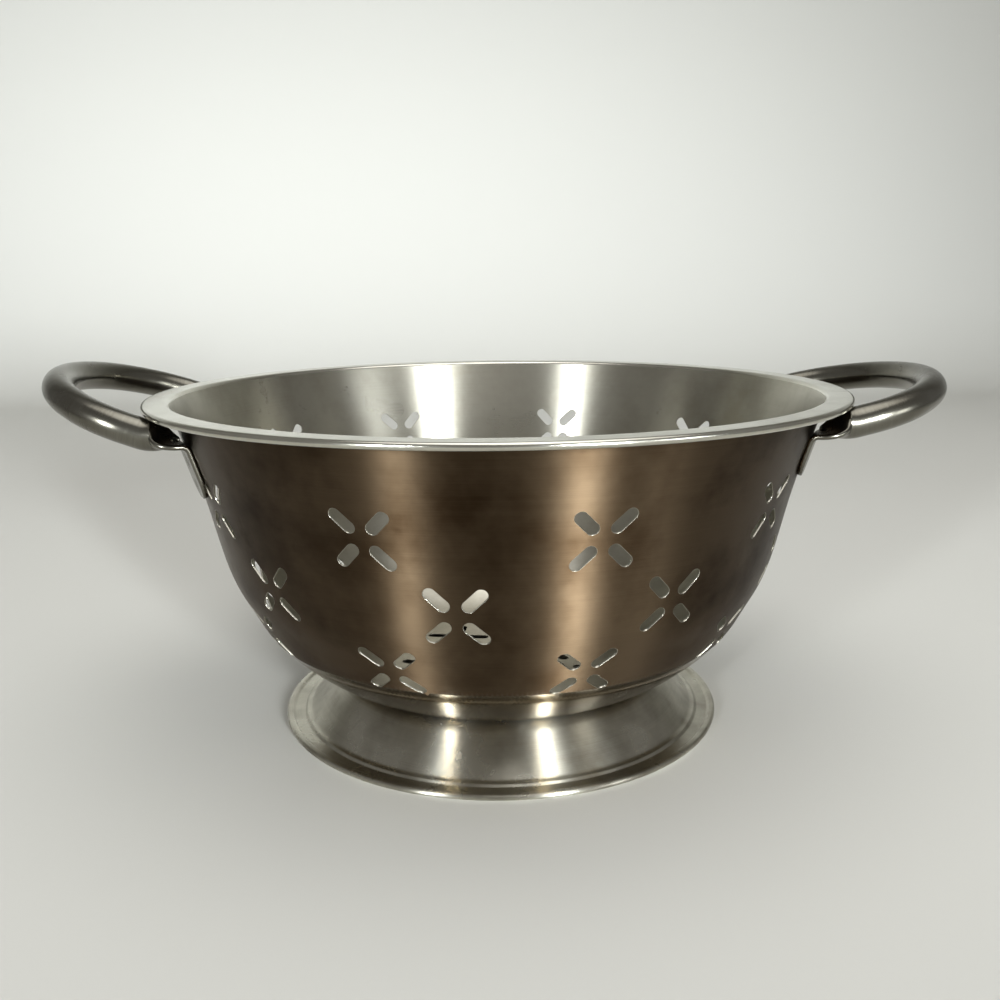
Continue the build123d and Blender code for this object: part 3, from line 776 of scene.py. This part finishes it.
def steel(name, colour, smudge_colour, roughness, brush, anisotropy, lines, wear, tone=0.5):
    """Steel whose brush lines run round the piece, along its own UV. The lines and cloudy smudges
    change the colour and the roughness, small spots the roughness alone, and the lines, wider
    bands, fine scratches and a slow wobble bend the reflections. Brush is the depth of the lines,
    lines how close they lie, wear the strength of smudges, spots and scratches, and tone how far
    the lines change the colour."""
    material, node, link = graph(name)
    out = node("ShaderNodeOutputMaterial")
    shader = node("ShaderNodeBsdfPrincipled")
    shader.inputs["Metallic"].default_value = 1.0
    shader.inputs["Anisotropic"].default_value = anisotropy
    link(shader.outputs[0], out.inputs["Surface"])
    place = node("ShaderNodeTexCoord")
    uv = node("ShaderNodeUVMap", uv_map="UVMap")
    run = node("ShaderNodeSeparateXYZ")
    link(uv.outputs[0], run.inputs[0])
    body = node("ShaderNodeSeparateXYZ")
    link(place.outputs["Object"], body.inputs[0])

    def scaled(output, factor):
        made = node("ShaderNodeMath", operation="MULTIPLY")
        link(output, made.inputs[0])
        made.inputs[1].default_value = factor
        return made.outputs[0]

    def added(a, b):
        made = node("ShaderNodeMath", operation="ADD")
        link(a, made.inputs[0])
        link(b, made.inputs[1])
        return made

    def noise(vector, scale, detail, rough=0.5):
        made = node("ShaderNodeTexNoise", Scale=scale, Detail=detail, Roughness=rough)
        link(vector, made.inputs["Vector"])
        return made.outputs["Fac"]

    def lined_noise(spread, lines_there, detail, rough=0.5):
        """Noise drawn out round the piece: coarse in plan, fine along the run."""
        made = node("ShaderNodeCombineXYZ")
        link(scaled(body.outputs[0], spread), made.inputs[0])
        link(scaled(body.outputs[1], spread), made.inputs[1])
        link(scaled(run.outputs[1], lines_there), made.inputs[2])
        return noise(made.outputs[0], 1.0, detail, rough)

    def bump(height, strength, distance, under=None):
        made = node("ShaderNodeBump", Strength=strength, Distance=distance)
        link(height, made.inputs["Height"])
        if under:
            link(under, made.inputs["Normal"])
        return made.outputs[0]

    grain = lined_noise(spread=14, lines_there=lines, detail=3, rough=0.7)
    band = lined_noise(spread=5, lines_there=lines / 9, detail=2)
    cloud = noise(place.outputs["Object"], scale=38, detail=4, rough=0.6)
    spot = noise(place.outputs["Object"], scale=160, detail=3, rough=0.6)
    wobble = noise(place.outputs["Object"], scale=24, detail=1)
    scratch_place = node("ShaderNodeMapping")
    scratch_place.inputs["Rotation"].default_value = (0.5, 0.9, 0.3)
    scratch_place.inputs["Scale"].default_value = (30, 900, 30)
    link(place.outputs["Object"], scratch_place.inputs["Vector"])
    scratch = noise(scratch_place.outputs[0], scale=1.0, detail=2)
    mix = node("ShaderNodeMix", data_type="RGBA")
    mix.inputs[6].default_value = (*colour, 1)
    mix.inputs[7].default_value = (*smudge_colour, 1)
    dirt = added(ramp(node, link, cloud, (0.42, 0.72, 0.0, wear)),
                 ramp(node, link, grain, (0.35, 0.7, 0.0, tone)))
    dirt.use_clamp = True
    link(dirt.outputs[0], mix.inputs[0])
    link(mix.outputs[2], shader.inputs["Base Color"])
    rough = added(ramp(node, link, cloud, (0.35, 0.75, roughness, roughness + 0.12 * wear + 0.02)),
                  ramp(node, link, grain, (0.35, 0.7, 0.0, 0.1 * brush)))
    speck = added(rough.outputs[0], ramp(node, link, spot, (0.62, 0.72, 0.0, 0.1 * wear)))
    link(speck.outputs[0], shader.inputs["Roughness"])
    slow = bump(wobble, strength=0.06, distance=0.0015)
    lined = bump(grain, strength=brush, distance=0.00004, under=slow)
    banded = bump(band, strength=brush * 0.6, distance=0.0001, under=lined)
    marked = bump(scratch, strength=0.25 * wear, distance=0.00003, under=banded)
    link(marked, shader.inputs["Normal"])
    if anisotropy:
        shader.inputs["Anisotropic Rotation"].default_value = QUARTER_TURN
        tangent = node("ShaderNodeTangent", direction_type="RADIAL", axis="Z")
        link(tangent.outputs[0], shader.inputs["Tangent"])
    return material


def plain(name, colour, roughness, sheen):
    """Even pale surface of the floor and backdrop."""
    material, node, link = graph(name)
    out = node("ShaderNodeOutputMaterial")
    shader = node("ShaderNodeBsdfPrincipled")
    shader.inputs["Base Color"].default_value = (*colour, 1)
    shader.inputs["Roughness"].default_value = roughness
    shader.inputs["Specular IOR Level"].default_value = sheen
    link(shader.outputs[0], out.inputs["Surface"])
    return material


def dress(node, finish):
    """Gives a node of the frame its finish."""
    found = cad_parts[node]
    for piece in found if isinstance(found, list) else [found]:
        thing = bpy.data.objects[piece] if isinstance(piece, str) else piece
        if thing.material_slots:
            for slot in thing.material_slots:
                slot.material = finish
        else:
            thing.data.materials.append(finish)


# Outside: brushed steel whose colour and smudge colour are darker and browner than the steel itself, a
# painted reflection of a brown wooden table beneath it; only the smudges' random spread is the steel's own
outside_steel_painted_reflection = steel("outside_brushed_steel_painted_reflection", (0.108, 0.076, 0.046), (0.032, 0.017, 0.007),
                      roughness=0.42, brush=0.12, anisotropy=1.0, lines=5200, wear=0.6)
rim_steel = steel("rim_polished_steel", (0.56, 0.545, 0.475), (0.38, 0.36, 0.30),
                  roughness=0.16, brush=0.12, anisotropy=0.6, lines=3400, wear=0.45, tone=0.25)
band_steel = steel("band_polished_steel", (0.22, 0.175, 0.115), (0.12, 0.09, 0.052),
                   roughness=0.12, brush=0.1, anisotropy=0.8, lines=5200, wear=0.4, tone=0.3)
inside_steel = steel("inside_polished_steel", (0.43, 0.412, 0.35), (0.22, 0.2, 0.155),
                     roughness=0.27, brush=0.12, anisotropy=0.9, lines=3400, wear=0.5, tone=0.25)
foot_steel = steel("foot_bright_steel", (0.54, 0.52, 0.445), (0.14, 0.12, 0.088),
                   roughness=0.25, brush=0.1, anisotropy=0.95, lines=2600, wear=0.6, tone=0.35)
# Tubes: drawn steel whose colour is darker than the steel itself, a painted reflection of a dark table
# beneath them
tube_steel_painted_reflection = steel("tube_drawn_steel_painted_reflection", (0.18, 0.172, 0.145), (0.10, 0.09, 0.07),
                   roughness=0.20, brush=0.2, anisotropy=0.0, lines=300, wear=0.6, tone=0.4)
weld_steel = steel("weld_steel", (0.42, 0.41, 0.39), (0.30, 0.29, 0.27),
                   roughness=0.35, brush=0.1, anisotropy=0.0, lines=600, wear=0.5)

bowl = make_bowl([outside_steel_painted_reflection, inside_steel, band_steel, rim_steel])
foot = make_turned("flared_foot", foot_line(), foot_steel)
handle_right = make_handle("right", tube_steel_painted_reflection)
handle_left = make_handle("left", tube_steel_painted_reflection)
for piece, node_name, slot in ((bowl, "bowl", "bowl_steel"), (foot, "foot_ring", "foot_steel"),
                               (handle_right, "handle_right", "handle_steel"),
                               (handle_left, "handle_left", "handle_steel")):
    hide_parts(node_name)
    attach(piece, "root")
dress("handle_spot_welds", weld_steel)
dress("foot_spot_welds", weld_steel)


# Floor, backdrop and light

def make_floor():
    """Floor that curves up into the backdrop: a flat run, a quarter circle and an upright."""
    back = FLOOR_BACK + COVE_RADIUS
    run = joined(straight((FLOOR_FRONT, 0), (FLOOR_BACK, 0), 3),
                 arc((FLOOR_BACK, COVE_RADIUS), COVE_RADIUS, -90, 0, 24),
                 straight((back, COVE_RADIUS), (back, BACKDROP_TOP), 3))
    wide = np.array([-FLOOR_HALF_WIDTH, FLOOR_HALF_WIDTH])
    points = np.stack(np.broadcast_arrays(wide[None], run[:, 0:1], run[:, 1:2]), axis=-1).reshape(-1, 3)
    quads = grid_faces(len(run), 2, wrap=False)
    finish = plain("pale_floor", FLOOR_COLOUR, FLOOR_ROUGHNESS, FLOOR_SHEEN)
    return make_piece("floor", points / MM, quads, NO_TRIANGLES, None, [finish],
                      np.zeros(len(quads)), points[:, :2])


make_floor()

world = bpy.data.worlds.new("studio")
bpy.context.scene.world = world
world.use_nodes = True
background = world.node_tree.nodes["Background"]
background.inputs["Color"].default_value = WORLD_COLOUR
background.inputs["Strength"].default_value = WORLD_STRENGTH


def turned(right, up, back, place):
    """Matrix of an object with its right, up and back ways and its place."""
    matrix = np.eye(4)
    matrix[:3, 0], matrix[:3, 1], matrix[:3, 2], matrix[:3, 3] = right, up, back, place
    return Matrix(matrix.tolist())


def soft_panel(name, place, width, height, power, spread, colour=(1, 1, 1)):
    """Rectangular soft light at a place, turned to face the lamps' aim."""
    light = bpy.data.lights.new(name, "AREA")
    light.shape = "RECTANGLE"
    light.size, light.size_y, light.energy, light.color = width, height, power, colour
    light.spread = math.radians(spread)
    lamp = bpy.data.objects.new(name, light)
    back = unit(np.array(place, float) - np.array(AIM, float))
    right = unit(np.cross([0, 0, 1.0], back))
    lamp.matrix_world = turned(right, np.cross(back, right), back, place)
    bpy.context.scene.collection.objects.link(lamp)


def around(angle):
    """Place of a lamp at an angle from the front, towards the right when positive."""
    a = math.radians(angle)
    return (LAMP_DISTANCE * math.sin(a), -LAMP_DISTANCE * math.cos(a), LAMP_HEIGHT)


soft_panel("top_panel", TOP_PLACE, TOP_SIZE, TOP_SIZE, TOP_POWER, TOP_SPREAD)
for name, (angle, width, power) in FRONT_LAMPS.items():
    soft_panel(name, around(angle), width, LAMP_LENGTH, power, LAMP_SPREAD, COOL)


# Camera at the photograph's place

def place_camera():
    """Camera with its right, up and back ways from pitch, roll and heading, turned about Z."""
    pitch, roll, heading, turn = (math.radians(v) for v in (PITCH, ROLL, HEADING, TURN))
    forward = np.array([math.sin(heading) * math.cos(pitch), math.cos(heading) * math.cos(pitch),
                        -math.sin(pitch)])
    right = np.array([math.cos(heading), -math.sin(heading), 0])
    up = np.cross(right, forward)
    level = math.cos(roll) * right + math.sin(roll) * up
    lift = -math.sin(roll) * right + math.cos(roll) * up
    spin = np.array([[math.cos(turn), -math.sin(turn), 0], [math.sin(turn), math.cos(turn), 0], [0, 0, 1]])
    data = bpy.data.cameras.new("camera")
    data.sensor_width, data.lens, data.clip_start = SENSOR, LENS, CLIP_START
    camera = bpy.data.objects.new("camera", data)
    camera.matrix_world = turned(spin @ level, spin @ lift, spin @ -forward, spin @ np.array(CAMERA_PLACE))
    bpy.context.scene.collection.objects.link(camera)
    bpy.context.scene.camera = camera


place_camera()
bpy.context.scene.view_settings.view_transform = "Standard"
